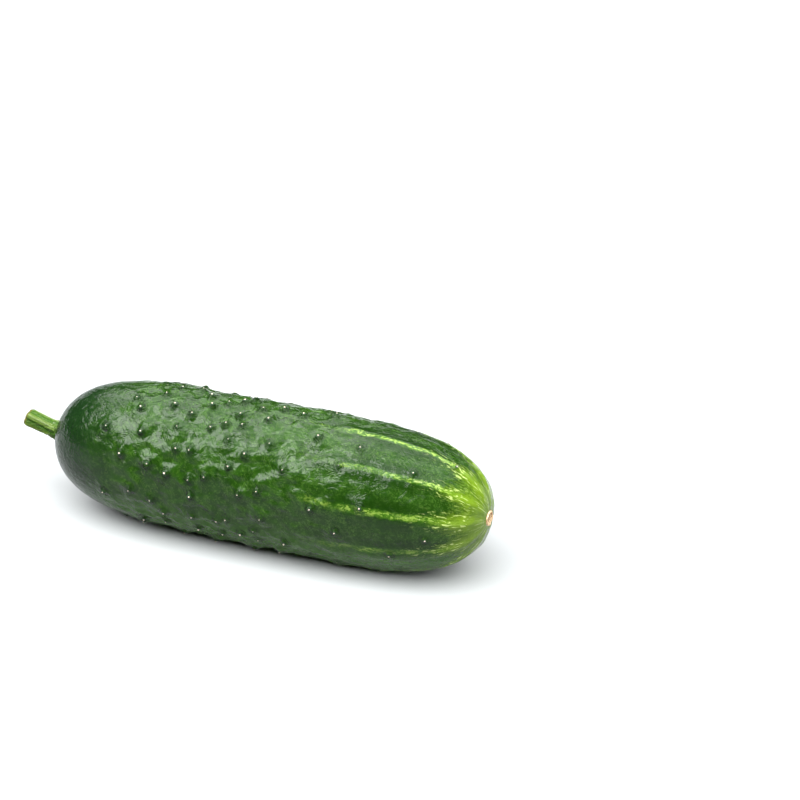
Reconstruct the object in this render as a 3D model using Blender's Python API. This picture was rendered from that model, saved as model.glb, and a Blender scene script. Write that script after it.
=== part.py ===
"""A short pickling cucumber lying on its side, with the stub of stem that it was cut from.

Metres, +Z up. The origin is on the surface that the cucumber lies on, at the middle of its flat
resting spot. +X runs along the fruit, from the stem end to the blossom end. Angles round the fruit
start at +Y and pass the top, so 90 degrees is the top and 270 degrees the underside.
"""

import math
import random

import bmesh
import bpy
import numpy as np

# The fruit's own length and width, and how blunt its two ends are
FRUIT_LENGTH = 0.130
FRUIT_RADIUS = 0.020
WIDEST_X = 0.002
STEM_END_POWER = 4.9
BLOSSOM_END_POWER = 4.4
ROUNDING_POWER = 2.15

# How far the underside is pressed flat where it lies
FLAT_DEPTH = 0.00045
AXIS_HEIGHT = FRUIT_RADIUS - FLAT_DEPTH

# The section is a little three-sided, and ten low ribs run in from the blossom end
LOBES = 3
LOBE_SHARE = 0.008
LOBE_ANGLE = math.radians(150)
RIBS = 10
RIB_ANGLE = math.radians(97)
RIB_HEIGHT = 0.0003
RIB_SHARPNESS = 3
RIB_START_X = -0.010
RIB_FULL_X = 0.035
RIB_FADE_SHARE = 0.75

# A shallow saddle across the back, just past the stem end's shoulder
SADDLE_X = -0.014
SADDLE_REACH = 0.010
SADDLE_DEPTH = 0.0007
SADDLE_ANGLE = math.radians(80)

# Warts: a golden-angle spiral, crowded on the stem half and thin towards the blossom end
WARTS = 164
WART_SEED = 11
GOLDEN_ANGLE = math.pi * (3 - math.sqrt(5))
WART_BAND = (-0.044, 0.055)
CROWD_X = -0.014
CROWD_REACH = 0.021
CROWD_GAIN = 4.6
WART_SHIFT = 0.0030
WART_TURN = math.radians(9)
WART_SIZES = (0.72, 1.25)
WART_CLEARANCE = 0.0030
SWELL_HEIGHT = 0.0010
SWELL_REACH = 0.0029
TUBERCLE_HEIGHT = 0.0002
TUBERCLE_REACH = 0.0010
SPINE_LENGTH = 0.0008
SPINE_HALF_WIDTH = 0.00035
SPINE_FLOOR_GAP = 0.0003

# The blossom scar: a small corky dish at the far pole
SCAR_RADIUS = 0.0022
SCAR_LIP_RADIUS = 0.0017
SCAR_DEPTH = 0.0004

# The socket that the stem grows out of
JOINT_GAP = 0.0003
STEM_ROOT_RADIUS = 0.0029
SOCKET_RADIUS = STEM_ROOT_RADIUS + JOINT_GAP
SOCKET_DEPTH = 0.0014

# The stem: its length past the skin, its rise, and its five ridges
STEM_LENGTH = 0.0112
STEM_RISE = 0.0026
STEM_WAIST_RADIUS = 0.0023
STEM_CUT_RADIUS = 0.00255
STEM_RIDGES = 5
STEM_RIDGE_SHARE = 0.085
STEM_FLARE_SHARE = 0.35
STEM_RISE_POWER = 1.25
STEM_SPREAD_POWER = 3
STEM_CUT_DISH = 0.0003
STEM_CUT_LIP_SHARE = 0.72

# How finely the solids are faceted
SKIN_RINGS = 64
SKIN_COLUMNS = 68
PROFILE_SAMPLES = 4001
STEM_RINGS = 14
STEM_COLUMNS = 30
CREASE_ANGLE = math.radians(40)

SKIN_GREEN = (0.020, 0.080, 0.006, 1)
STEM_GREEN = (0.110, 0.230, 0.025, 1)
SKIN_ROUGHNESS = 0.25
STEM_ROUGHNESS = 0.50


def clear_scene():
    for obj in list(bpy.data.objects):
        bpy.data.objects.remove(obj)


def material(name, colour, roughness):
    made = bpy.data.materials.new(name)
    made.use_nodes = True
    shader = made.node_tree.nodes["Principled BSDF"]
    shader.inputs["Base Color"].default_value = colour
    shader.inputs["Roughness"].default_value = roughness
    shader.inputs["Metallic"].default_value = 0
    return made


def smoothstep(value, low, high):
    share = np.clip((value - low) / (high - low), 0, 1)
    return share * share * (3 - 2 * share)


def body_radius(x):
    """The smooth fruit's radius at x: a superellipse on each side of its widest ring."""
    x = np.asarray(x, float)
    to_stem = FRUIT_LENGTH / 2 + WIDEST_X
    to_blossom = FRUIT_LENGTH / 2 - WIDEST_X
    stem_side = x < WIDEST_X
    reach = np.where(stem_side, to_stem, to_blossom)
    power = np.where(stem_side, STEM_END_POWER, BLOSSOM_END_POWER)
    share = np.clip(np.abs(x - WIDEST_X) / reach, 0, 1)
    return FRUIT_RADIUS * (1 - share**power) ** (1 / ROUNDING_POWER)


def ring_stations():
    """x of every skin ring, in equal steps along the profile from the socket's edge to the scar's edge."""
    turn = np.linspace(-math.pi / 2, math.pi / 2, PROFILE_SAMPLES)
    x = FRUIT_LENGTH / 2 * np.sin(turn)
    radius = body_radius(x)
    past_socket = (x > 0) | (radius >= SOCKET_RADIUS)
    before_scar = (x < 0) | (radius >= SCAR_RADIUS)
    x = x[past_socket & before_scar]
    radius = radius[past_socket & before_scar]
    walked = np.concatenate([[0], np.cumsum(np.hypot(np.diff(x), np.diff(radius)))])
    return np.interp(np.linspace(0, walked[-1], SKIN_RINGS), walked, x)


def skin_point(x, angle, rise=0.0):
    """Points of the skin, raised by rise along the smooth fruit's own normal, as (..., 3) arrays."""
    radius = body_radius(x)
    step = 1e-6
    slope = (body_radius(x + step) - body_radius(x - step)) / (2 * step)
    along = -slope / np.hypot(1, slope)
    out = 1 / np.hypot(1, slope)
    section = 1 + LOBE_SHARE * np.cos(LOBES * (angle - LOBE_ANGLE))
    reach = radius * section + rise * out
    return np.stack(
        [x + rise * along, reach * np.cos(angle), AXIS_HEIGHT + reach * np.sin(angle)], axis=-1
    )


def wart_spots():
    """(x, angle, size) of every wart that keeps clear of the others and of the surface under the fruit."""
    draw = random.Random(WART_SEED)
    x = np.linspace(*WART_BAND, PROFILE_SAMPLES)
    crowding = 1 + CROWD_GAIN * np.exp(-(((x - CROWD_X) / CROWD_REACH) ** 2))
    share = np.cumsum(crowding) / crowding.sum()
    spots = []
    places = []
    for number in range(WARTS):
        spot_x = float(np.interp((number + 0.5) / WARTS, share, x)) + draw.uniform(-1, 1) * WART_SHIFT
        angle = (number * GOLDEN_ANGLE + draw.uniform(-1, 1) * WART_TURN) % math.tau
        size = draw.uniform(*WART_SIZES)
        place = skin_point(spot_x, angle)
        tip = skin_point(spot_x, angle, size * (SWELL_HEIGHT + TUBERCLE_HEIGHT) + SPINE_LENGTH)
        crowded = any(np.linalg.norm(place - other) < WART_CLEARANCE for other in places)
        if tip[2] > SPINE_FLOOR_GAP and not crowded:
            spots.append((spot_x, angle, size))
            places.append(place)
    return spots


def relief(x, angle, spots):
    """How far the skin stands off the smooth fruit: ribs, saddle, and each wart's swell and tubercle."""
    rib_wave = (0.5 + 0.5 * np.cos(RIBS * (angle - RIB_ANGLE))) ** RIB_SHARPNESS
    towards_pole = smoothstep(body_radius(x) / FRUIT_RADIUS, 0, RIB_FADE_SHARE)
    rise = RIB_HEIGHT * rib_wave * smoothstep(x, RIB_START_X, RIB_FULL_X) * towards_pole
    saddle = np.exp(-(((x - SADDLE_X) / SADDLE_REACH) ** 2)) * np.clip(np.cos(angle - SADDLE_ANGLE), 0, 1)
    rise = rise - SADDLE_DEPTH * saddle
    here = skin_point(x, angle)
    swell = np.zeros_like(x)
    for spot_x, spot_angle, size in spots:
        away = np.linalg.norm(here - skin_point(spot_x, spot_angle), axis=-1)
        bump = SWELL_HEIGHT * np.exp(-((away / SWELL_REACH) ** 2))
        bump += TUBERCLE_HEIGHT * np.exp(-((away / TUBERCLE_REACH) ** 2))
        swell = np.maximum(swell, size * bump)
    return rise + swell


def lofted(rings, first_centre, last_centre):
    """A closed bmesh through rings of points, all alike in count, with a fan of faces on each end."""
    made = bmesh.new()
    loops = [[made.verts.new(point) for point in ring] for ring in rings]
    columns = len(loops[0])
    for near, far in zip(loops, loops[1:]):
        for k in range(columns):
            after = (k + 1) % columns
            made.faces.new((near[k], far[k], far[after], near[after]))
    for loop, centre in ((loops[0], first_centre), (loops[-1], last_centre)):
        middle = made.verts.new(centre)
        for k in range(columns):
            made.faces.new((loop[k], loop[(k + 1) % columns], middle))
    bmesh.ops.recalc_face_normals(made, faces=made.faces)
    return made, loops


def circle(x, radius, height, columns):
    """Points of a circle across the X axis."""
    angles = [math.tau * k / columns for k in range(columns)]
    return [(x, radius * math.cos(a), height + radius * math.sin(a)) for a in angles]


def add_object(name, shape, finish):
    mesh = bpy.data.meshes.new(name)
    shape.to_mesh(mesh)
    shape.free()
    mesh.materials.append(finish)
    mesh.shade_smooth()
    mesh.set_sharp_from_angle(angle=CREASE_ANGLE)
    obj = bpy.data.objects.new(name, mesh)
    bpy.context.scene.collection.objects.link(obj)
    return obj


def skin_grid(spots):
    """x and angle of every skin corner. The corner nearest each wart is moved to that wart's middle."""
    stations = ring_stations()
    turn = math.tau / SKIN_COLUMNS
    x, angle = np.meshgrid(stations, turn * np.arange(SKIN_COLUMNS), indexing="ij")
    wart_corners = []
    for spot_x, spot_angle, _ in spots:
        ring = int(np.abs(stations - spot_x).argmin())
        column = round(spot_angle / turn) % SKIN_COLUMNS
        x[ring, column] = spot_x
        angle[ring, column] = spot_angle
        wart_corners.append((ring, column))
    return x, angle, wart_corners


def grow_spines(shape, corners):
    """Turns each wart's top corner into a small four-sided facet, and draws its middle out into a spine."""
    tops = bmesh.ops.bevel(
        shape, geom=corners, offset=SPINE_HALF_WIDTH, offset_type="OFFSET", segments=1, affect="VERTICES"
    )["faces"]
    bmesh.ops.poke(shape, faces=tops, offset=SPINE_LENGTH, center_mode="MEAN")


def build_fruit():
    spots = wart_spots()
    x, angle, wart_corners = skin_grid(spots)
    skin = skin_point(x, angle, relief(x, angle, spots))
    skin[..., 2] = np.maximum(skin[..., 2], 0)

    socket_edge_x = float(skin[0, :, 0].min())
    socket_floor_x = socket_edge_x + SOCKET_DEPTH
    scar_edge_x = float(skin[-1, :, 0].max())
    rings = [circle(socket_floor_x, SOCKET_RADIUS, AXIS_HEIGHT, SKIN_COLUMNS)]
    rings += [[tuple(point) for point in ring] for ring in skin.tolist()]
    rings.append(circle(scar_edge_x - SCAR_DEPTH / 2, SCAR_LIP_RADIUS, AXIS_HEIGHT, SKIN_COLUMNS))
    shape, loops = lofted(
        rings, (socket_floor_x, 0, AXIS_HEIGHT), (scar_edge_x - SCAR_DEPTH, 0, AXIS_HEIGHT)
    )
    grow_spines(shape, [loops[ring + 1][column] for ring, column in wart_corners])
    add_object("fruit", shape, material("cucumber_skin", SKIN_GREEN, SKIN_ROUGHNESS))
    return socket_edge_x, socket_floor_x


def stem_radius(share):
    """From the root, in to the waist, and out again to the cut."""
    flare = (1 - smoothstep(share, 0, STEM_FLARE_SHARE)) * (STEM_ROOT_RADIUS - STEM_WAIST_RADIUS)
    spread = share**STEM_SPREAD_POWER * (STEM_CUT_RADIUS - STEM_WAIST_RADIUS)
    return STEM_WAIST_RADIUS + flare + spread


def build_stem(socket_edge_x, socket_floor_x):
    root_x = socket_floor_x - JOINT_GAP
    rings = [circle(root_x, STEM_ROOT_RADIUS, AXIS_HEIGHT, STEM_COLUMNS)]
    for share in np.linspace(0, 1, STEM_RINGS):
        middle_x = socket_edge_x - STEM_LENGTH * share
        middle_z = AXIS_HEIGHT + STEM_RISE * share**STEM_RISE_POWER
        tilt = math.atan(STEM_RISE / STEM_LENGTH * STEM_RISE_POWER * share ** (STEM_RISE_POWER - 1))
        ridge = STEM_RIDGE_SHARE * smoothstep(share, 0, STEM_FLARE_SHARE)
        ring = []
        for k in range(STEM_COLUMNS):
            around = math.tau * k / STEM_COLUMNS
            radius = stem_radius(share) * (1 + ridge * math.cos(STEM_RIDGES * around))
            up = radius * math.sin(around)
            y = radius * math.cos(around)
            ring.append((middle_x + up * math.sin(tilt), y, middle_z + up * math.cos(tilt)))
        rings.append(ring)

    cut = np.array(rings[-1])
    cut_centre = cut.mean(axis=0)
    inward = np.array([math.cos(tilt), 0, -math.sin(tilt)]) * STEM_CUT_DISH
    lip = cut_centre + STEM_CUT_LIP_SHARE * (cut - cut_centre) + inward
    rings.append([tuple(point) for point in lip.tolist()])
    shape, _ = lofted(rings, (root_x, 0, AXIS_HEIGHT), tuple((cut_centre + inward).tolist()))
    add_object("stem", shape, material("cucumber_stem", STEM_GREEN, STEM_ROUGHNESS))


def main():
    clear_scene()
    build_stem(*build_fruit())


main()
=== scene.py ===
import math
import random

import bmesh
import bpy
import numpy as np
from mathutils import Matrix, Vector


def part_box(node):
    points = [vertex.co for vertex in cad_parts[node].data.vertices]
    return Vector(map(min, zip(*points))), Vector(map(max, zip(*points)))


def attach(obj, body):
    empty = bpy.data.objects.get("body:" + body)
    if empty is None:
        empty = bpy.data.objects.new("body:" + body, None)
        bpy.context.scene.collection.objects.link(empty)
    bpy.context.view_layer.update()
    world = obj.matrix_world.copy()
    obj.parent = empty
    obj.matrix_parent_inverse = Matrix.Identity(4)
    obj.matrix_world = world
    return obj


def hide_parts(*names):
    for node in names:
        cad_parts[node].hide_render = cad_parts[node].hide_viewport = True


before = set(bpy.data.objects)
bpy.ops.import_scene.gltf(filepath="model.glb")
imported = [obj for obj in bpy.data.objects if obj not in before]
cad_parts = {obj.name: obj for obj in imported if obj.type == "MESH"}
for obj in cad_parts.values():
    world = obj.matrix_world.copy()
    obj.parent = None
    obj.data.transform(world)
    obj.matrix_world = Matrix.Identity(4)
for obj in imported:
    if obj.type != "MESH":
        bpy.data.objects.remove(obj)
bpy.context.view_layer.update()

MM = 0.001
MM_PER_METRE = 1000.0

# The camera: where it looks from, and how far the fruit lies off its axis
CAMERA_YAW = math.radians(23.055)
CAMERA_ELEVATION = math.radians(26.772)
CAMERA_DISTANCE = 1.0
CAMERA_RIGHT = 35.59 * MM
CAMERA_UP = 37.89 * MM
CAMERA_LENS = 161.7
CAMERA_SENSOR = 36
CAMERA_CLIP_END = 100

# The fruit's own length and width, how blunt its ends are, and its pressed underside
FRUIT_LENGTH = 0.130
FRUIT_RADIUS = 0.020
WIDEST_X = 0.002
STEM_END_POWER = 4.9
BLOSSOM_END_POWER = 4.4
ROUNDING_POWER = 2.15
FLAT_DEPTH = 0.00045
AXIS_HEIGHT = FRUIT_RADIUS - FLAT_DEPTH

# The three-sided section, the ten ribs, and the saddle across the back
LOBES = 3
LOBE_SHARE = 0.008
LOBE_ANGLE = math.radians(150)
RIBS = 10
RIB_ANGLE = math.radians(97)
RIB_HEIGHT = 0.0003
RIB_SHARPNESS = 3
RIB_START_X = -0.010
RIB_FULL_X = 0.035
RIB_FADE_SHARE = 0.75
SADDLE_X = -0.014
SADDLE_REACH = 0.010
SADDLE_DEPTH = 0.0007
SADDLE_ANGLE = math.radians(80)

# Warts: a golden-angle spiral, crowded on the stem half and thin towards the blossom end
WARTS = 164
WART_SEED = 11
GOLDEN_ANGLE = math.pi * (3 - math.sqrt(5))
WART_BAND = (-0.044, 0.055)
CROWD_X = -0.014
CROWD_REACH = 0.021
CROWD_GAIN = 4.6
WART_SHIFT = 0.0030
WART_TURN = math.radians(9)
WART_SIZES = (0.72, 1.25)

# A wart is left out if it comes nearer to another, or its spine nearer to the floor, than this.
# The heights here are those of the solids. The skin's own are in SKIN_SIZES.
WART_CLEARANCE = 0.0030
SPINE_FLOOR_GAP = 0.0003
SPINE_LENGTH = 0.0008
SWELL_HEIGHT = 0.0010
TUBERCLE_HEIGHT = 0.0002
WART_HEIGHT = SWELL_HEIGHT + TUBERCLE_HEIGHT

# Where the warts get higher or lower along x, z and y: from, to, and their share of the full height at each
WARTS_ALONG = (0.006, 0.034, 1.0, 0.55)
WARTS_UPWARD = (0.003, 0.028, 0.50, 1.0)
WARTS_BACKWARD = (0.001, 0.009, 1.0, 0.45)

# Where the lumps begin near the stem, and where they fade towards the blossom end, also along x
LUMPS_BEGIN = (-0.050, -0.028)
LUMPS_FADE = (0.012, 0.044, 1.0, 0.25)

# The blossom scar, and the socket that the stem grows out of
SCAR_RADIUS = 0.0022
SCAR_DEPTH = 0.0004
JOINT_GAP = 0.0003
STEM_ROOT_RADIUS = 0.0029
SOCKET_RADIUS = STEM_ROOT_RADIUS + JOINT_GAP
SOCKET_DEPTH = 0.0014

# The scar's rings, from its hidden edge to its middle: share of its radius, and rise
SCAR_RINGS = (
    (0.9, -0.0006),
    (1.0, -0.0002),
    (1.0, 0.0001),
    (0.9, 0.00042),
    (0.75, 0.0003),
    (0.6, 0.00008),
    (0.45, 0.0001),
    (0.3, -0.00005),
    (0.15, 0.0001),
)
SCAR_COLUMNS = 48
SCAR_SEED = 9
SCAR_THICKNESS = 0.0007

# The stem: its length past the skin, its rise, and its five ridges
STEM_LENGTH = 0.0109
STEM_RISE = 0.0026
STEM_RISE_POWER = 1.25
STEM_WAIST_RADIUS = 0.0023
STEM_CUT_RADIUS = 0.00255
STEM_RIDGES = 5
STEM_RIDGE_SHARE = 0.085
STEM_FLARE_SHARE = 0.35

# How uneven the stem is, as shares of its radius, and how far its ridges wind
STEM_SEED = 3
STEM_WAVES = 6
STEM_WAVE_SHARE = 0.06
STEM_KNOT_SHARE = 0.09
STEM_WORN_SHARE = 0.14
STEM_TWIST = 0.25

# The stem's rings past the skin, those in its socket, and those of its cut: share of the edge, and rise
STEM_RINGS = 72
STEM_HIDDEN_RINGS = 4
STEM_COLUMNS = 120
CUT_RINGS = ((0.95, -0.00012), (0.85, -0.00020), (0.70, -0.00010), (0.40, -0.00015), (0.2, -0.00005))

# How finely the skin is faceted
SKIN_RINGS = 388
SKIN_COLUMNS = 254
PROFILE_POINTS = 1025
PROFILE_SAMPLES = 4001
MERGE_DISTANCE = 0.000002

# The skin's sizes, which are the inputs of its Geometry Nodes tree
SKIN_SIZES = {
    "Length": FRUIT_LENGTH,
    "Radius": FRUIT_RADIUS,
    "Widest": WIDEST_X,
    "Rings": SKIN_RINGS,
    "Columns": SKIN_COLUMNS,
    "Rib Height": RIB_HEIGHT,
    "Saddle Depth": SADDLE_DEPTH,
    "Swell Height": 0.00108,
    "Swell Reach": 0.0024,
    "Wart Warp": 0.0013,
    "Tubercle Height": 0.00038,
    "Tubercle Reach": 0.0009,
    "Moat Radius": 0.0016,
    "Moat Reach": 0.0006,
    "Moat Depth": 0.00030,
    "Lump Height": 0.00102,
    "Dimple Height": 0.00017,
    "Wrinkle Height": 0.00009,
    "Scar Depth": SCAR_DEPTH,
    "Socket Depth": SOCKET_DEPTH,
}

# The spines' sizes: a foot, coloured dark as painted shade, and a pale tip that comes out of it
FOOT_SIZES = {"Foot Radius": 0.00060, "Tip Radius": 0.00026, "Height": 0.00020, "Sunk": 0.0001, "Lean": 0.1}
TIP_SIZES = {"Foot Radius": 0.00025, "Tip Radius": 0.00013, "Height": 0.00038, "Sunk": 0.0001, "Lean": 0.2}
SPINE_SCALES = (0.75, 1.25)
SPINE_CORNERS = 10
SPINE_RINGS = 3
LEAN_SEED = 5
SPINE_SCALE_SEED = 8

# Colours of the skin
DEEP_GREEN = (0.0045, 0.020, 0.0012, 1)
MID_GREEN = (0.0120, 0.042, 0.0030, 1)
FLECK_GREEN = (0.060, 0.128, 0.020, 1)
# The underside's lighter green: partly the fruit's paler underside, partly painted light from the floor
PALE_UNDERSIDE_AND_BOUNCE_GREEN = (0.032, 0.100, 0.006, 1)
# Painted shade: the stem end darkened as if it got less light
STEM_END_SHADE_GREEN = (0.0040, 0.015, 0.0045, 1)
RIB_GREEN = (0.050, 0.145, 0.005, 1)
BLOSSOM_END_GREEN = (0.120, 0.204, 0.012, 1)
STREAK_GREEN = (0.22, 0.32, 0.055, 1)
SHORT_STREAK_GREEN = (0.42, 0.50, 0.17, 1)

# Colours of the spines and the scar: each is a pair that a noise mixes
# The spine feet's dark green is painted shade round each spine
FOOT_SHADE_COLOURS = ((0.006, 0.018, 0.006, 1), (0.020, 0.050, 0.018, 1))
TIP_COLOURS = ((0.46, 0.34, 0.28, 1), (0.72, 0.63, 0.55, 1))
SCAR_COLOURS = ((0.36, 0.18, 0.08, 1), (0.80, 0.58, 0.34, 1))

# Colours of the stem
GROOVE_GREEN = (0.020, 0.062, 0.001, 1)
STEM_GREEN = (0.062, 0.106, 0.012, 1)
FIBRE_GREEN = (0.125, 0.170, 0.055, 1)
# A painted highlight along the crests of the stem's ridges
CREST_HIGHLIGHT_GREEN = (0.18, 0.24, 0.10, 1)
STEM_ROOT_GREEN = (0.036, 0.095, 0.006, 1)
STEM_SPOT_COLOUR = (0.34, 0.37, 0.24, 1)
CUT_EDGE_COLOUR = (0.090, 0.075, 0.010, 1)
CUT_COLOURS = ((0.24, 0.22, 0.07, 1), (0.50, 0.52, 0.22, 1))

# The floor
FLOOR_HALF_SIZE = 6.0
FLOOR_COLOUR = (0.415, 0.430, 0.435, 1)

# The lights that the fruit mirrors
MIRRORED_LIGHTS = (
    {"name": "overhead", "place": (-0.52, -0.33, 0.75), "size": (0.75, 0.68), "power": 22.5,
     "target": (-0.52, -0.28, 0)},
    {"name": "right", "place": (0.17, -0.08, 0.75), "size": (0.45, 0.36), "power": 2.5,
     "target": (0.17, -0.05, 0)},
    {"name": "low", "place": (-0.60, -0.84, 0.75), "size": (0.62, 0.32), "power": 1.8,
     "target": (-0.60, -0.6, 0)},
    {"name": "back", "place": (-0.05, 0.45, 0.65), "size": (1.4, 0.60), "power": 12},
)

# The lights that only the floor takes, and the one that only the cucumber takes
FLOOR_LIGHTS = (
    {"name": "floor_fill", "place": (0, 0.1, 0.85), "size": (3.4, 1.8), "power": 44,
     "target": (0, 0.08, 0)},
    {"name": "front_fill", "place": (0, -0.4, 0.75), "size": (3.8, 0.8), "power": 48},
)
FRUIT_LIGHT = {"name": "top_fill", "place": (0.07, -0.16, 0.9), "size": (0.8, 0.8), "power": 44}


class Value:
    """One output of a node. Arithmetic on it adds Math or Vector Math nodes to its tree."""

    def __init__(self, graph, socket):
        self.graph = graph
        self.socket = socket

    def __add__(self, other):
        return self.graph.combine("ADD", self, other)

    def __sub__(self, other):
        return self.graph.combine("SUBTRACT", self, other)

    def __rsub__(self, other):
        return self.graph.combine("SUBTRACT", other, self)

    def __mul__(self, other):
        return self.graph.combine("MULTIPLY", self, other)

    def __truediv__(self, other):
        return self.graph.combine("DIVIDE", self, other)

    def __pow__(self, other):
        return self.graph.combine("POWER", self, other)


def is_vector(value):
    return isinstance(value, Value) and value.socket.type == "VECTOR"


class Graph:
    """Adds nodes to a tree. A value is a number, a vector, a colour or a Value."""

    def __init__(self, tree):
        self.tree = tree

    def add(self, kind, values=None, **settings):
        node = self.tree.nodes.new(kind)
        for name, setting in settings.items():
            setattr(node, name, setting)
        for key, value in (values or {}).items():
            self.feed(node.inputs[key], value)
        return node

    def feed(self, socket, value):
        if isinstance(value, Value):
            self.tree.links.new(value.socket, socket)
        else:
            socket.default_value = value

    def out(self, node, key=0):
        return Value(self, node.outputs[key])

    def math(self, operation, *values):
        return self.out(self.add("ShaderNodeMath", dict(enumerate(values)), operation=operation))

    def vector(self, operation, *values):
        node = self.add("ShaderNodeVectorMath", dict(enumerate(values)), operation=operation)
        return self.out(node, "Value" if operation == "DISTANCE" else "Vector")

    def combine(self, operation, a, b):
        """Arithmetic on two numbers or two vectors. A vector and a number are multiplied."""
        if is_vector(a) and is_vector(b):
            return self.vector(operation, a, b)
        if is_vector(a):
            return self.out(self.add("ShaderNodeVectorMath", {"Vector": a, "Scale": b}, operation="SCALE"))
        return self.math(operation, a, b)

    def xyz(self, x, y, z):
        return self.out(self.add("ShaderNodeCombineXYZ", {0: x, 1: y, 2: z}))

    def split(self, vector):
        node = self.add("ShaderNodeSeparateXYZ", {0: vector})
        return [self.out(node, k) for k in range(3)]

    def polar(self, y, height):
        """The angle round the fruit's axis, and the distance from it."""
        return self.math("ARCTAN2", height, y), self.math("SQRT", y * y + height * height)

    def ramp(self, value, low, high, start=0.0, end=1.0):
        """A smooth step from start, at low, to end, at high."""
        values = {"Value": value, "From Min": low, "From Max": high, "To Min": start, "To Max": end}
        return self.out(self.add("ShaderNodeMapRange", values, interpolation_type="SMOOTHSTEP"))

    def noise(self, vector, scale=1.0, detail=2.0, roughness=0.5, warp=0.0):
        values = {
            "Vector": vector,
            "Scale": scale,
            "Detail": detail,
            "Roughness": roughness,
            "Distortion": warp,
        }
        return self.out(self.add("ShaderNodeTexNoise", values, noise_dimensions="3D"))

    def bell(self, value, reach):
        """1 where the value is 0, falling away over the reach."""
        share = value / reach
        return self.math("EXPONENT", share * share * -1.0)

    def mix(self, factor, a, b):
        return self.out(self.add("ShaderNodeMix", {0: factor, 6: a, 7: b}, data_type="RGBA"), 2)


class ShapeGraph(Graph):
    """A Geometry Nodes tree with one geometry in, one out, and named inputs for its sizes."""

    def __init__(self, name, sizes, objects=()):
        super().__init__(bpy.data.node_groups.new(name, "GeometryNodeTree"))
        interface = self.tree.interface
        interface.new_socket("Geometry", in_out="INPUT", socket_type="NodeSocketGeometry")
        for size, value in sizes.items():
            kind = "NodeSocketInt" if isinstance(value, int) else "NodeSocketFloat"
            interface.new_socket(size, in_out="INPUT", socket_type=kind).default_value = value
        for given in objects:
            interface.new_socket(given, in_out="INPUT", socket_type="NodeSocketObject")
        interface.new_socket("Geometry", in_out="OUTPUT", socket_type="NodeSocketGeometry")
        self.entry = self.tree.nodes.new("NodeGroupInput")
        self.exit = self.tree.nodes.new("NodeGroupOutput")

    def given(self, name):
        return self.out(self.entry, name)

    def position(self):
        return self.out(self.add("GeometryNodeInputPosition"))

    def attribute(self, name, kind="FLOAT"):
        return self.out(self.add("GeometryNodeInputNamedAttribute", {"Name": name}, data_type=kind))

    def store(self, geometry, name, value, kind="FLOAT"):
        values = {"Geometry": geometry, "Name": name}
        node = self.add("GeometryNodeStoreNamedAttribute", values, data_type=kind, domain="POINT")
        self.feed(node.inputs["Value"], value)
        return self.out(node)

    def pick(self, geometry, value, index, kind="FLOAT"):
        """The value at one point of another geometry."""
        values = {"Geometry": geometry, "Value": value, "Index": index}
        return self.out(self.add("GeometryNodeSampleIndex", values, data_type=kind))

    def place(self, geometry, position):
        return self.out(self.add("GeometryNodeSetPosition", {"Geometry": geometry, "Position": position}))

    def push(self, geometry, offset):
        return self.out(self.add("GeometryNodeSetPosition", {"Geometry": geometry, "Offset": offset}))

    def finish(self, geometry, finish):
        """Ends the tree: instances made real, the finish set, and every face shaded smooth."""
        real = self.out(self.add("GeometryNodeRealizeInstances", {"Geometry": geometry}))
        smooth = self.out(self.add("GeometryNodeSetShadeSmooth", {0: real}))
        painted = self.out(self.add("GeometryNodeSetMaterial", {"Geometry": smooth, "Material": finish}))
        self.feed(self.exit.inputs[0], painted)
        return self.tree


def link(obj):
    bpy.context.scene.collection.objects.link(obj)
    return obj


def grown(name, seed_mesh, tree, objects=None):
    """The tree's result on the seed mesh, as a plain mesh object."""
    seed = link(bpy.data.objects.new(name + "_seed", seed_mesh))
    modifier = seed.modifiers.new("shape", "NODES")
    modifier.node_group = tree
    for socket in tree.interface.items_tree:
        if socket.in_out == "INPUT" and socket.name in (objects or {}):
            modifier[socket.identifier] = objects[socket.name]
    seed.update_tag()
    graph = bpy.context.evaluated_depsgraph_get()
    mesh = bpy.data.meshes.new_from_object(seed.evaluated_get(graph), depsgraph=graph)
    bpy.data.objects.remove(seed)
    mesh.name = name
    return link(bpy.data.objects.new(name, mesh))


def add_piece(obj, slot, *nodes):
    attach(obj, "root")
    if nodes:
        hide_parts(*nodes)


# Wart places


def body_radius(x):
    """The smooth fruit's radius at x: a superellipse on each side of its widest ring."""
    x = np.asarray(x, float)
    stem_side = x < WIDEST_X
    reach = np.where(stem_side, FRUIT_LENGTH / 2 + WIDEST_X, FRUIT_LENGTH / 2 - WIDEST_X)
    power = np.where(stem_side, STEM_END_POWER, BLOSSOM_END_POWER)
    share = np.clip(np.abs(x - WIDEST_X) / reach, 0, 1)
    return FRUIT_RADIUS * (1 - share**power) ** (1 / ROUNDING_POWER)


def outward(x, angle):
    """The smooth fruit's own normal."""
    step = 1e-6
    slope = (body_radius(x + step) - body_radius(x - step)) / (2 * step)
    normal = np.array([-slope, math.cos(angle), math.sin(angle)])
    return normal / np.linalg.norm(normal)


def skin_point(x, angle, rise=0.0):
    section = 1 + LOBE_SHARE * math.cos(LOBES * (angle - LOBE_ANGLE))
    reach = float(body_radius(x)) * section
    foot = np.array([x, reach * math.cos(angle), AXIS_HEIGHT + reach * math.sin(angle)])
    return foot + rise * outward(x, angle)


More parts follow.
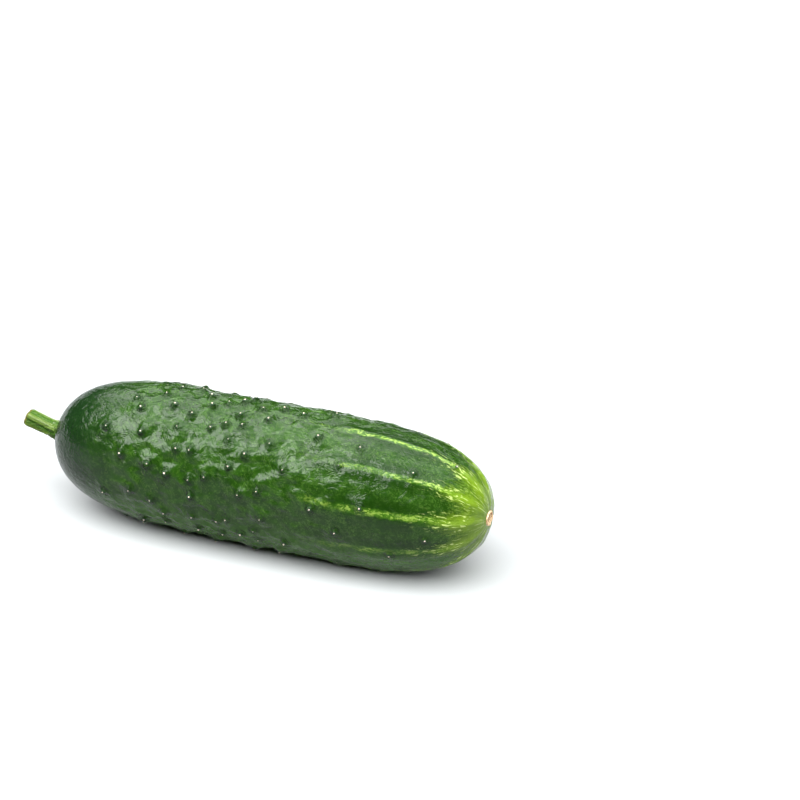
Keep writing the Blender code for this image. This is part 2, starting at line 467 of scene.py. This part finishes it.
def wart_spots():
    """(x, angle, size) of every wart that keeps clear of the others and of the surface under the fruit."""
    draw = random.Random(WART_SEED)
    x = np.linspace(*WART_BAND, PROFILE_SAMPLES)
    crowding = 1 + CROWD_GAIN * np.exp(-(((x - CROWD_X) / CROWD_REACH) ** 2))
    share = np.cumsum(crowding) / crowding.sum()
    spots = []
    places = []
    for number in range(WARTS):
        spot_x = float(np.interp((number + 0.5) / WARTS, share, x)) + draw.uniform(-1, 1) * WART_SHIFT
        angle = (number * GOLDEN_ANGLE + draw.uniform(-1, 1) * WART_TURN) % math.tau
        size = draw.uniform(*WART_SIZES)
        place = skin_point(spot_x, angle)
        tip = skin_point(spot_x, angle, size * WART_HEIGHT + SPINE_LENGTH)
        crowded = any(np.linalg.norm(place - other) < WART_CLEARANCE for other in places)
        if tip[2] > SPINE_FLOOR_GAP and not crowded:
            spots.append((spot_x, angle, size))
            places.append(place)
    return spots


def wart_mesh(spots):
    """One point for each wart on the smooth fruit, with its size and the way it faces."""
    mesh = bpy.data.meshes.new("warts")
    mesh.from_pydata([tuple(skin_point(x, angle)) for x, angle, _ in spots], [], [])
    sizes = mesh.attributes.new("size", "FLOAT", "POINT")
    facing = mesh.attributes.new("facing", "FLOAT_VECTOR", "POINT")
    for k, (x, angle, size) in enumerate(spots):
        sizes.data[k].value = size
        facing.data[k].vector = outward(x, angle)
    return mesh


# Skin shape


def rib_wave(graph, angle):
    """1 along the crest of each rib and -1 halfway between two."""
    return graph.math("COSINE", (angle - RIB_ANGLE) * float(RIBS))


def lathe(shape):
    """The smooth fruit: a profile in even steps, turned round the X axis, with closed ends and no seam."""
    length, radius, widest = (shape.given(name) for name in ("Length", "Radius", "Widest"))
    line = shape.out(shape.add("GeometryNodeMeshLine", {"Count": PROFILE_POINTS}))
    number = shape.out(shape.add("GeometryNodeInputIndex"))
    turn = (number / (PROFILE_POINTS - 1) - 0.5) * math.pi
    x = shape.math("SINE", turn) * length * 0.5
    past = x - widest
    stem_side = shape.math("LESS_THAN", past, 0.0)
    reach = length * 0.5 + widest * (stem_side * 2.0 - 1.0)
    power = stem_side * (STEM_END_POWER - BLOSSOM_END_POWER) + BLOSSOM_END_POWER
    share = shape.math("MINIMUM", shape.math("ABSOLUTE", past) / reach, 1.0)
    across = (1.0 - share**power) ** (1 / ROUNDING_POWER) * radius
    profile = shape.place(line, shape.xyz(x, across, 0.0))
    curve = shape.out(shape.add("GeometryNodeMeshToCurve", {"Mesh": profile}))

    values = {
        "Size X": 1.0,
        "Size Y": 1.0,
        "Vertices X": shape.given("Rings"),
        "Vertices Y": shape.given("Columns"),
    }
    grid = shape.out(shape.add("GeometryNodeMeshGrid", values))
    u, v, _ = shape.split(shape.position())
    sample = shape.add("GeometryNodeSampleCurve", {"Curves": curve, "Factor": u + 0.5}, mode="FACTOR")
    x, across, _ = shape.split(shape.out(sample, "Position"))
    angle = (v + 0.5) * math.tau
    section = shape.math("COSINE", (angle - LOBE_ANGLE) * float(LOBES)) * LOBE_SHARE + 1.0
    reach = across * section
    y = reach * shape.math("COSINE", angle)
    z = reach * shape.math("SINE", angle) + AXIS_HEIGHT
    turned = shape.place(grid, shape.xyz(x, y, z))
    values = {"Geometry": turned, "Distance": MERGE_DISTANCE}
    merged = shape.out(shape.add("GeometryNodeMergeByDistance", values))
    return shape.out(shape.add("GeometryNodeFlipFaces", {0: merged}))


def raise_warts(shape, skin, warts):
    """Stores how far the warts lift the skin, and how near the nearest one is, both in millimetres."""
    skin = shape.store(skin, "swell", 0.0)
    here = shape.position()
    drift = [shape.noise(here + shape.xyz(shift, 0.0, 0.0), 400.0) - 0.5 for shift in (0.0, 0.3, 0.6)]
    warped = here + shape.xyz(*drift) * shape.given("Wart Warp") * 2.0
    skin = shape.store(skin, "warped", warped, "FLOAT_VECTOR")

    start = shape.add("GeometryNodeRepeatInput")
    end = shape.add("GeometryNodeRepeatOutput")
    start.pair_with_output(end)
    count = shape.out(shape.add("GeometryNodeAttributeDomainSize", {"Geometry": warts}), "Point Count")
    shape.feed(start.inputs["Iterations"], count)
    shape.feed(start.inputs["Geometry"], skin)
    number = shape.out(start, "Iteration")
    place = shape.pick(warts, shape.position(), number, "FLOAT_VECTOR")
    size = shape.pick(warts, shape.attribute("size"), number)
    away = shape.vector("DISTANCE", shape.attribute("warped", "FLOAT_VECTOR"), place)
    past_moat = away - shape.given("Moat Radius")
    bump = shape.bell(away, shape.given("Swell Reach")) * shape.given("Swell Height")
    bump = bump + shape.bell(away, shape.given("Tubercle Reach")) * shape.given("Tubercle Height")
    bump = bump - shape.bell(past_moat, shape.given("Moat Reach")) * shape.given("Moat Depth")
    x, y, z = shape.split(shape.position())
    bump = bump * shape.ramp(x, *WARTS_ALONG) * shape.ramp(z, *WARTS_UPWARD)
    bump = bump * shape.ramp(y, *WARTS_BACKWARD)
    higher = shape.math("MAXIMUM", shape.attribute("swell"), bump * size * MM_PER_METRE)
    shape.feed(end.inputs["Geometry"], shape.store(shape.out(start, "Geometry"), "swell", higher))

    skin = shape.out(end, "Geometry")
    skin = shape.out(shape.add("GeometryNodeRemoveAttribute", {"Geometry": skin, "Name": "warped"}))
    near = shape.add("GeometryNodeProximity", {0: warts}, target_element="POINTS")
    return shape.store(skin, "wart_distance", shape.out(near, "Distance") / MM)


def skin_tree(finish):
    """The lathed fruit with its warts, ribs, saddle, lumps, scar dish and socket pushed in or out."""
    shape = ShapeGraph("cucumber_skin_shape", SKIN_SIZES)
    skin = raise_warts(shape, lathe(shape), shape.given("Geometry"))

    x, y, z = shape.split(shape.position())
    height = z - AXIS_HEIGHT
    angle, across = shape.polar(y, height)

    ribs = (rib_wave(shape, angle) * 0.5 + 0.5) ** float(RIB_SHARPNESS) * shape.given("Rib Height")
    ribs = ribs * shape.ramp(x, RIB_START_X, RIB_FULL_X)
    ribs = ribs * shape.ramp(across, 0.0, FRUIT_RADIUS * RIB_FADE_SHARE)
    over_back = shape.math("MAXIMUM", shape.math("COSINE", angle - SADDLE_ANGLE), 0.0)
    saddle = shape.bell(x - SADDLE_X, SADDLE_REACH) * over_back * shape.given("Saddle Depth")

    swell = shape.attribute("swell")
    lumpy = shape.ramp(x, *LUMPS_BEGIN) * shape.ramp(x, *LUMPS_FADE)
    stretched = shape.xyz(x * 0.75, y, height)
    folded = stretched * MM_PER_METRE + shape.xyz(0.0, swell * 2.0, swell * 2.0)
    lumps = (shape.noise(stretched, 230.0, 1.0) - 0.5) * lumpy * shape.given("Lump Height") * 2.0
    dimples = shape.noise(folded, 0.45, 0.5, 0.5, 0.8) - 0.5
    dimples = dimples * lumpy * shape.given("Dimple Height") * 2.0
    wrinkles = (shape.noise(folded, 0.8, 0.5, 0.5, 1.0) - 0.5) * shape.given("Wrinkle Height") * 2.0
    wrinkles = wrinkles * shape.ramp(across, 0.004, 0.014)

    scar = shape.ramp(across, SCAR_RADIUS * 0.75, SCAR_RADIUS * 1.15, 1.0, 0.0)
    scar = scar * shape.ramp(x, 0.0, 0.01)
    socket = shape.ramp(across, SOCKET_RADIUS * 0.92, SOCKET_RADIUS * 1.12, 1.0, 0.0)
    socket = socket * shape.ramp(x, -0.01, 0.0, 1.0, 0.0)
    rise = ribs - saddle + swell * MM + lumps + dimples + wrinkles
    rise = rise - scar * shape.given("Scar Depth") - socket * shape.given("Socket Depth")

    normal = shape.out(shape.add("GeometryNodeInputNormal"))
    skin = shape.push(skin, normal * rise)
    x, y, z = shape.split(shape.position())
    skin = shape.place(skin, shape.xyz(x, y, shape.math("MAXIMUM", z, 0.0)))
    return shape.finish(skin, finish)


# Spines


def spine_tree(name, finish, sizes):
    """A small cone on the skin at every wart, leaning a little its own way."""
    shape = ShapeGraph(name, sizes, objects=("Skin",))
    warts = shape.given("Geometry")
    skin = shape.add("GeometryNodeObjectInfo", {"Object": shape.given("Skin")}, transform_space="RELATIVE")
    facing = shape.attribute("facing", "FLOAT_VECTOR")
    above = shape.position() + facing * WART_HEIGHT
    near = shape.add("GeometryNodeProximity", {0: shape.out(skin, "Geometry")}, target_element="FACES")
    names = ("Sample Position", "Source Position")
    shape.feed([socket for socket in near.inputs if socket.name in names][0], above)
    warts = shape.place(warts, shape.out(near, "Position") - facing * shape.given("Sunk"))

    values = {
        "Vertices": SPINE_CORNERS,
        "Side Segments": SPINE_RINGS,
        "Fill Segments": 1,
        "Radius Top": shape.given("Tip Radius"),
        "Radius Bottom": shape.given("Foot Radius"),
        "Depth": shape.given("Height"),
    }
    cone = shape.out(shape.add("GeometryNodeMeshCone", values, fill_type="TRIANGLE_FAN"))
    lean = shape.add("FunctionNodeRandomValue", {"Seed": LEAN_SEED}, data_type="FLOAT_VECTOR")
    shape.feed(lean.inputs[0], (-1.0, -1.0, -1.0))
    shape.feed(lean.inputs[1], (1.0, 1.0, 1.0))
    aim = facing + shape.out(lean, 0) * shape.given("Lean")
    turn = shape.out(shape.add("FunctionNodeAlignRotationToVector", {"Vector": aim}, axis="Z"))
    grow = shape.add("FunctionNodeRandomValue", {"Seed": SPINE_SCALE_SEED}, data_type="FLOAT")
    shape.feed(grow.inputs[2], SPINE_SCALES[0])
    shape.feed(grow.inputs[3], SPINE_SCALES[1])
    size = shape.out(grow, 1) * shape.attribute("size")
    values = {"Points": warts, "Instance": cone, "Rotation": turn, "Scale": size}
    return shape.finish(shape.out(shape.add("GeometryNodeInstanceOnPoints", values)), finish)


# Finishes


def new_finish(name):
    """A material with its Principled shader, and a graph to add to."""
    made = bpy.data.materials.new(name)
    made.use_nodes = True
    graph = Graph(made.node_tree)
    return made, graph, made.node_tree.nodes["Principled BSDF"]


def set_shader(shader, **values):
    for name, value in values.items():
        shader.inputs[name.replace("_", " ").title().replace("Ior", "IOR")].default_value = value


def place_in_mm(graph):
    return graph.out(graph.add("ShaderNodeTexCoord"), "Object") * MM_PER_METRE


def read(graph, name):
    return graph.out(graph.add("ShaderNodeAttribute", attribute_name=name), "Fac")


def bump(graph, shader, height, depth):
    node = graph.add("ShaderNodeBump", {"Height": height, "Distance": depth})
    graph.tree.links.new(node.outputs["Normal"], shader.inputs["Normal"])


def twisted(graph, x, y, height):
    """A place for noise whose strokes wind down the front of the fruit, longer than they are wide."""
    turn = x * 0.055
    cosine = graph.math("COSINE", turn)
    sine = graph.math("SINE", turn)
    return graph.xyz(x * 0.35, y * cosine + height * sine, height * cosine - y * sine)


def on_tube(graph, x, angle, radius):
    """A place for noise that runs along the ribs and doesn't narrow with the fruit."""
    return graph.xyz(x, graph.math("COSINE", angle) * radius, graph.math("SINE", angle) * radius)


def green_ground(graph, place, near, wandering, broken, arcs, flecks):
    """Mottled deep green with pale strokes and specks, painted shade round the warts and at the stem end,
    and a lighter underside that is partly painted light from the floor.
    """
    x, _, z = graph.split(place)
    broad = graph.noise(place, 0.22, 3.0, 0.6)
    specks = graph.noise(place, 1.6, 2.0, 0.6, 1.2)
    strokes = graph.ramp(graph.math("ABSOLUTE", wandering - 0.5), 0.045, 0.010) * broken
    strokes = strokes * graph.ramp(z, 16.0, 8.0, 0.22, 0.42)
    pale_specks = graph.ramp(specks, 0.55, 0.68) * graph.ramp(x, -10.0, 30.0, 0.32, 0.52)
    pale_flecks = graph.ramp(flecks, 0.54, 0.62) * graph.ramp(x, 0.0, 30.0, 0.0, 0.30)
    # Painted shade: darker green round each wart, standing in for the shade on its sides
    foot = graph.ramp(near + (wandering - 0.5) * 2.0, 1.7, 0.7)
    colour = graph.mix(graph.ramp(broad, 0.35, 0.65, 0.30, 0.95), DEEP_GREEN, MID_GREEN)
    colour = graph.mix(graph.ramp(wandering, 0.40, 0.28) * 0.5, colour, DEEP_GREEN)
    colour = graph.mix(strokes, colour, FLECK_GREEN)
    colour = graph.mix(graph.ramp(arcs, 0.1, 0.9) * 0.18, colour, FLECK_GREEN)
    colour = graph.mix(foot * 0.75, colour, DEEP_GREEN)
    colour = graph.mix(pale_specks, colour, FLECK_GREEN)
    colour = graph.mix(pale_flecks, colour, FLECK_GREEN)
    # Lighter green low on the fruit: partly its paler underside, partly painted light from the floor
    colour = graph.mix(graph.ramp(z, 17.0, 9.0) * 0.50, colour, PALE_UNDERSIDE_AND_BOUNCE_GREEN)
    # More painted shade: a second dark ring round each wart
    colour = graph.mix(graph.bell(near - 1.3, 0.6) * 0.55, colour, DEEP_GREEN)
    # Painted shade: the stem end darkened towards its tip
    return graph.mix(graph.ramp(x, -34.0, -56.0) * 0.85, colour, STEM_END_SHADE_GREEN)


def blossom_streaks(graph, colour, place, flecks):
    """Broken pale streaks along the ribs, on dark flanks, which run into the yellow-green blossom end."""
    x, y, z = graph.split(place)
    height = z - AXIS_HEIGHT / MM
    angle, across = graph.polar(y, height)
    waver = (graph.noise(graph.xyz(x * 0.13, y * 0.05, height * 0.05), 1.0, 3.0, 0.6) - 0.5) * 0.18
    closer = graph.bell(graph.math("ABSOLUTE", angle) - math.radians(155), math.radians(30))
    wander = angle + closer * math.radians(5.5) + waver * graph.ramp(across, 2.0, 14.0)
    rib = rib_wave(graph, wander)

    start = graph.noise(graph.xyz(y, height, 3.0), 0.12, 0.0) * 40.0 - 4.0
    reach = graph.ramp(x - start, -6.0, 22.0)
    dashes = graph.noise(graph.xyz(x * 0.65, y * 1.9, height * 1.9), 1.0, 3.0, 0.65, 0.9)
    patchy = graph.ramp(graph.noise(place, 0.20, 2.0), 0.38, 0.58, 0.15, 1.0)
    radial = graph.noise(on_tube(graph, x * 0.55, wander, 27.0), 1.0, 2.0, 0.55, 0.5)
    ticks = graph.noise(on_tube(graph, x, wander, 38.0), 1.0, 1.0)
    strength = graph.ramp(graph.noise(graph.xyz(y, height, 9.0), 0.11, 0.0), 0.35, 0.62, 0.45, 1.0)

    band = graph.ramp(rib + (dashes - 0.5) * 0.40, 0.87, 0.99) * graph.ramp(ticks, 0.47, 0.56)
    streak = band * reach * patchy * strength * graph.ramp(z, 8.0, 30.0, 0.65, 1.0)
    short = graph.ramp(radial, 0.59, 0.645) * graph.ramp(x + rib * 7.0, 49.0, 63.0)
    tip = graph.ramp(x + rib * 2.6 + (flecks - 0.5) * 6.0 + (radial - 0.5) * 11.0, 54.0, 64.5)
    flank = graph.ramp(rib, -1.8, 0.4) * graph.ramp(rib, 0.94, 0.82) * reach
    flank = flank * graph.ramp(z, 9.0, 18.0, 0.05, 1.0) * graph.ramp(x, 44.0, 57.0, 1.0, 0.2)
    glow = graph.ramp(rib, 0.78, 0.99) * reach * graph.ramp(x, 0.0, 50.0) * (patchy * 0.25 + 0.12)
    colour = graph.mix(flank * 0.80, colour, DEEP_GREEN)
    colour = graph.mix(glow, colour, RIB_GREEN)
    colour = graph.mix(tip * 0.88, colour, BLOSSOM_END_GREEN)
    colour = graph.mix(streak * 0.70, colour, STREAK_GREEN)
    return graph.mix(short * 0.66, colour, SHORT_STREAK_GREEN)


def skin_finish():
    """The skin's colour and its fine relief: wrinkles, wandering strokes, arcs and marks at the warts."""
    made, graph, shader = new_finish("cucumber_skin")
    place = place_in_mm(graph)
    x, y, z = graph.split(place)
    height = z - AXIS_HEIGHT / MM
    near = read(graph, "wart_distance")
    swell = read(graph, "swell")

    helix = twisted(graph, x, y, height)
    wandering = graph.noise(helix + graph.xyz(0.0, swell, swell), 0.85, 2.0, 0.55, 0.8)
    broken = graph.ramp(graph.noise(place, 0.55, 1.0), 0.42, 0.58)
    swirl = graph.noise(graph.xyz(x, y + swell * 2.0, height + swell * 2.0), 0.10, 2.0, 0.5, 1.0)
    arcs = graph.math("SINE", swirl * 140.0) * broken
    flecks = graph.noise(graph.xyz(x * 0.45, y, height), 0.9, 3.0, 0.6, 2.5)
    colour = green_ground(graph, place, near, wandering, broken, arcs, flecks)
    colour = blossom_streaks(graph, colour, place, flecks)
    graph.feed(shader.inputs["Base Color"], colour)

    rough = graph.ramp(graph.noise(place, 0.45, 2.0), 0.3, 0.7, 0.12, 0.19)
    graph.feed(shader.inputs["Roughness"], rough)
    set_shader(shader, specular_ior_level=0.18)
    folded = graph.xyz(x * 0.55, y + swell * 2.2, height + swell * 2.2)
    fine = graph.noise(folded, 0.6, 1.0, 0.45, 1.4)
    marks = graph.bell(near - 1.0 + (wandering - 0.5) * 2.4, 0.30)
    bump(graph, shader, fine * 0.65 + wandering * 0.40 + arcs * 0.09 - marks * 0.6, 0.00023)
    return made


def tip_finish():
    """The pale, pinkish tip of a spine."""
    made, graph, shader = new_finish("cucumber_spine")
    grain = graph.noise(place_in_mm(graph), 2.5, 2.0)
    graph.feed(shader.inputs["Base Color"], graph.mix(grain, *TIP_COLOURS))
    set_shader(shader, roughness=0.45)
    return made


def foot_shade_finish():
    """The foot of a spine, dark and matte: its colour is painted shade round the spine."""
    made, graph, shader = new_finish("cucumber_tubercle")
    grain = graph.noise(place_in_mm(graph), 2.0, 2.0)
    graph.feed(shader.inputs["Base Color"], graph.mix(grain, *FOOT_SHADE_COLOURS))
    set_shader(shader, roughness=0.5, specular_ior_level=0.12)
    return made


def scar_finish():
    """Corky tan with brown pits."""
    made, graph, shader = new_finish("blossom_scar_cork")
    pits = graph.noise(place_in_mm(graph), 1.5, 3.0, 0.7)
    graph.feed(shader.inputs["Base Color"], graph.mix(graph.ramp(pits, 0.39, 0.53), *SCAR_COLOURS))
    set_shader(shader, roughness=0.8)
    bump(graph, shader, pits, 0.0002)
    return made


def stem_finish():
    """Light green with pale fibres and spots, darker in the grooves, a painted highlight along each ridge's
    crest, and a paler cut.
    """
    made, graph, shader = new_finish("cucumber_stem")
    place = place_in_mm(graph)
    x, y, z = graph.split(place)
    ridge = read(graph, "ridge")
    cut = read(graph, "cut")
    along = read(graph, "along")
    fibres = graph.noise(graph.xyz(x * 0.35, y * 2.2, z * 2.2), 1.0, 3.0, 0.6)
    spots = graph.ramp(graph.noise(place, 0.85, 1.0), 0.60, 0.68) * graph.ramp(along, 0.42, 0.20)
    cut_colour = graph.mix(graph.ramp(fibres, 0.4, 0.6), *CUT_COLOURS)
    colour = graph.mix(graph.ramp(ridge, 0.10, 0.9), GROOVE_GREEN, STEM_GREEN)
    colour = graph.mix(graph.ramp(fibres, 0.50, 0.64) * 0.50, colour, FIBRE_GREEN)
    # Painted highlight: a pale line along each ridge's crest
    colour = graph.mix(graph.ramp(ridge, 0.90, 1.0) * 0.50, colour, CREST_HIGHLIGHT_GREEN)
    colour = graph.mix(graph.ramp(along, 0.30, 0.0) * 0.6, colour, STEM_ROOT_GREEN)
    colour = graph.mix(spots * 0.8, colour, STEM_SPOT_COLOUR)
    colour = graph.mix(graph.ramp(along + fibres * 0.06, 0.955, 1.02) * 0.75, colour, CUT_EDGE_COLOUR)
    graph.feed(shader.inputs["Base Color"], graph.mix(cut, colour, cut_colour))
    set_shader(shader, roughness=0.5, specular_ior_level=0.1)
    bump(graph, shader, fibres, 0.00035)
    return made


# The stem and the scar


def ring_mesh(name, rings, first_centre, last_centre):
    """A closed mesh through rings of points, with a fan of faces on each end."""
    made = bmesh.new()
    loops = [[made.verts.new(point) for point in ring] for ring in rings]
    columns = len(loops[0])
    for near, far in zip(loops, loops[1:]):
        for k in range(columns):
            after = (k + 1) % columns
            made.faces.new((near[k], far[k], far[after], near[after]))
    for loop, centre in ((loops[0], first_centre), (loops[-1], last_centre)):
        middle = made.verts.new(centre)
        for k in range(columns):
            made.faces.new((loop[k], loop[(k + 1) % columns], middle))
    bmesh.ops.recalc_face_normals(made, faces=made.faces)
    mesh = bpy.data.meshes.new(name)
    made.to_mesh(mesh)
    made.free()
    mesh.shade_smooth()
    return mesh


def smoothstep(value, low, high):
    share = np.clip((value - low) / (high - low), 0, 1)
    return share * share * (3 - 2 * share)


def stem_radius(share):
    """From the root, in to the waist, and out again to the cut."""
    flare = (1 - smoothstep(share, 0, STEM_FLARE_SHARE)) * (STEM_ROOT_RADIUS - STEM_WAIST_RADIUS)
    return STEM_WAIST_RADIUS + flare + share**3 * (STEM_CUT_RADIUS - STEM_WAIST_RADIUS)


def build_stem(finish):
    """Rings from inside the socket to the cut, whose points store how far along and on a ridge they are."""
    skin_low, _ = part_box("fruit")
    root_x = skin_low[0]
    draw = random.Random(STEM_SEED)
    waves = []
    for _ in range(STEM_WAVES):
        waves.append((draw.uniform(0.3, 1.0), draw.randint(7, 17), draw.uniform(0, math.tau)))
    rings = []
    ridges = []
    shares = []
    for k in range(-STEM_HIDDEN_RINGS, STEM_RINGS):
        share = k / (STEM_RINGS - 1)
        along = max(share, 0)
        tilt = math.atan(STEM_RISE / STEM_LENGTH * STEM_RISE_POWER * along ** (STEM_RISE_POWER - 1))
        middle = Vector((root_x - STEM_LENGTH * share, 0, AXIS_HEIGHT + STEM_RISE * along**STEM_RISE_POWER))
        depth = STEM_RIDGE_SHARE * smoothstep(along, 0, STEM_FLARE_SHARE)
        knotty = STEM_KNOT_SHARE * (0.25 + 0.75 * (1 - smoothstep(along, 0.15, 0.5)))
        worn = 1 - STEM_WORN_SHARE * smoothstep(along, 0.90, 1.0) ** 2
        ring = []
        for c in range(STEM_COLUMNS):
            around = math.tau * c / STEM_COLUMNS
            twist = around + STEM_TWIST * along
            crest = 0.5 + 0.5 * math.cos(STEM_RIDGES * twist)
            fine = sum(size * math.cos(count * twist + start) for size, count, start in waves) / STEM_WAVES
            knots = math.sin(9 * around + 3 * math.sin(31 * along))
            knots = knots * math.sin(43 * along + 4 * math.cos(around))
            swell = depth * (2 * crest**0.7 - 1) + STEM_WAVE_SHARE * fine + knotty * knots
            radius = float(stem_radius(along)) * (1 + swell) * worn
            side = radius * math.cos(around)
            up = radius * math.sin(around)
            ring.append(middle + Vector((up * math.sin(tilt), side, up * math.cos(tilt))))
            ridges.append(crest)
            shares.append(along)
        rings.append(ring)

    edge = rings[-1]
    centre = sum(edge, Vector()) / STEM_COLUMNS
    axis = Vector((math.cos(tilt), 0, -math.sin(tilt)))
    cuts = [0.0] * len(ridges)
    for inset, sunk in CUT_RINGS:
        rings.append([centre + inset * (point - centre) + axis * sunk for point in edge])
        ridges += [0.5] * STEM_COLUMNS
        cuts += [1.0] * STEM_COLUMNS
        shares += [1.0] * STEM_COLUMNS
    root = rings[0][0].lerp(rings[0][STEM_COLUMNS // 2], 0.5)
    mesh = ring_mesh("stem_stub", rings, root, centre)
    layers = (("ridge", ridges + [0.5, 0.5]), ("cut", cuts + [0.0, 1.0]), ("along", shares + [0.0, 1.0]))
    for name, values in layers:
        layer = mesh.attributes.new(name, "FLOAT", "POINT")
        layer.data.foreach_set("value", np.array(values, np.float32))
    mesh.materials.append(finish)
    return link(bpy.data.objects.new("stem_stub", mesh))


def build_scar(finish):
    """A small pitted disc in the dish at the blossom end."""
    _, skin_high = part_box("fruit")
    edge_x = skin_high[0] - SCAR_DEPTH * 0.4
    draw = random.Random(SCAR_SEED)
    wobble = [draw.uniform(-1, 1) for _ in range(SCAR_COLUMNS)]
    rings = []
    for share, rise in SCAR_RINGS:
        ring = []
        for c in range(SCAR_COLUMNS):
            around = math.tau * c / SCAR_COLUMNS
            smooth = (wobble[c - 1] + wobble[c] + wobble[(c + 1) % SCAR_COLUMNS]) / 3
            radius = SCAR_RADIUS * share * (1 + 0.08 * smooth + 0.05 * math.cos(2 * around))
            ripple = 0.00008 * math.cos(5 * around + 9 * share) + 0.00006 * smooth
            y = radius * math.cos(around)
            z = AXIS_HEIGHT + radius * math.sin(around)
            ring.append((edge_x + rise + ripple, y, z))
        rings.append(ring)
    back = (edge_x - SCAR_THICKNESS, 0, AXIS_HEIGHT)
    mesh = ring_mesh("blossom_scar", rings, back, (edge_x, 0, AXIS_HEIGHT))
    mesh.materials.append(finish)
    return link(bpy.data.objects.new("blossom_scar", mesh))


# The stage


def add_camera():
    yaw = CAMERA_YAW
    rise = CAMERA_ELEVATION
    right = Vector((math.cos(yaw), math.sin(yaw), 0))
    back = Vector((math.sin(yaw) * math.cos(rise), -math.cos(yaw) * math.cos(rise), math.sin(rise)))
    up = back.cross(right)
    data = bpy.data.cameras.new("camera")
    data.lens = CAMERA_LENS
    data.sensor_width = CAMERA_SENSOR
    data.clip_end = CAMERA_CLIP_END
    camera = link(bpy.data.objects.new("camera", data))
    camera.location = back * CAMERA_DISTANCE + right * CAMERA_RIGHT + up * CAMERA_UP
    camera.rotation_euler = (-back).to_track_quat("-Z", "Y").to_euler()
    bpy.context.scene.camera = camera


def light_only(light, *receivers):
    lit = bpy.data.collections.new(light.name + "_receivers")
    for obj in receivers:
        lit.objects.link(obj)
    light.light_linking.receiver_collection = lit


def add_light(name, place, size, power, glossy=True, diffuse=True, target=(0, 0, 0.02)):
    data = bpy.data.lights.new(name, "AREA")
    data.shape = "RECTANGLE"
    data.size, data.size_y = size
    data.energy = power
    light = link(bpy.data.objects.new(name, data))
    light.location = place
    light.rotation_euler = (Vector(target) - light.location).to_track_quat("-Z", "Y").to_euler()
    light.visible_camera = False
    light.visible_glossy = glossy
    light.visible_diffuse = diffuse
    return light


def add_floor():
    mesh = bpy.data.meshes.new("floor")
    half = FLOOR_HALF_SIZE
    corners = [(-half, -half, 0), (half, -half, 0), (half, half, 0), (-half, half, 0)]
    mesh.from_pydata(corners, [], [(0, 1, 2, 3)])
    made, _, shader = new_finish("floor_white")
    set_shader(shader, base_color=FLOOR_COLOUR, roughness=0.9, specular_ior_level=0.0)
    mesh.materials.append(made)
    floor = link(bpy.data.objects.new("floor", mesh))
    for light in FLOOR_LIGHTS:
        light_only(add_light(**light, glossy=False), floor)


def add_world():
    """Even pale light from above and behind, with a darker side at the front."""
    world = bpy.data.worlds.new("studio")
    bpy.context.scene.world = world
    world.use_nodes = True
    graph = Graph(world.node_tree)
    background = world.node_tree.nodes["Background"]
    x, y, _ = graph.split(graph.out(graph.add("ShaderNodeTexCoord"), "Generated"))
    graph.feed(background.inputs["Strength"], graph.ramp(y + x * 0.5, -0.7, 0.6, 0.15, 0.75))


def build_stage():
    add_camera()
    add_floor()
    add_world()
    for light in MIRRORED_LIGHTS:
        add_light(**light, diffuse=False)
    scene = bpy.context.scene
    scene.view_settings.view_transform = "Standard"
    scene.view_settings.look = "None"


def main():
    build_stage()
    warts = wart_mesh(wart_spots())
    skin = grown("skin", warts, skin_tree(skin_finish()))
    on_skin = {"Skin": skin}
    feet = grown("spine_feet", warts, spine_tree("spine_foot_shape", foot_shade_finish(), FOOT_SIZES), on_skin)
    tips = grown("spine_tips", warts, spine_tree("spine_tip_shape", tip_finish(), TIP_SIZES), on_skin)
    scar = build_scar(scar_finish())
    stem = build_stem(stem_finish())
    add_piece(skin, "skin", "fruit")
    add_piece(feet, "skin")
    add_piece(tips, "skin")
    add_piece(scar, "skin")
    add_piece(stem, "stem", "stem")
    light_only(add_light(**FRUIT_LIGHT, glossy=False), skin, feet, tips, scar, stem)


main()
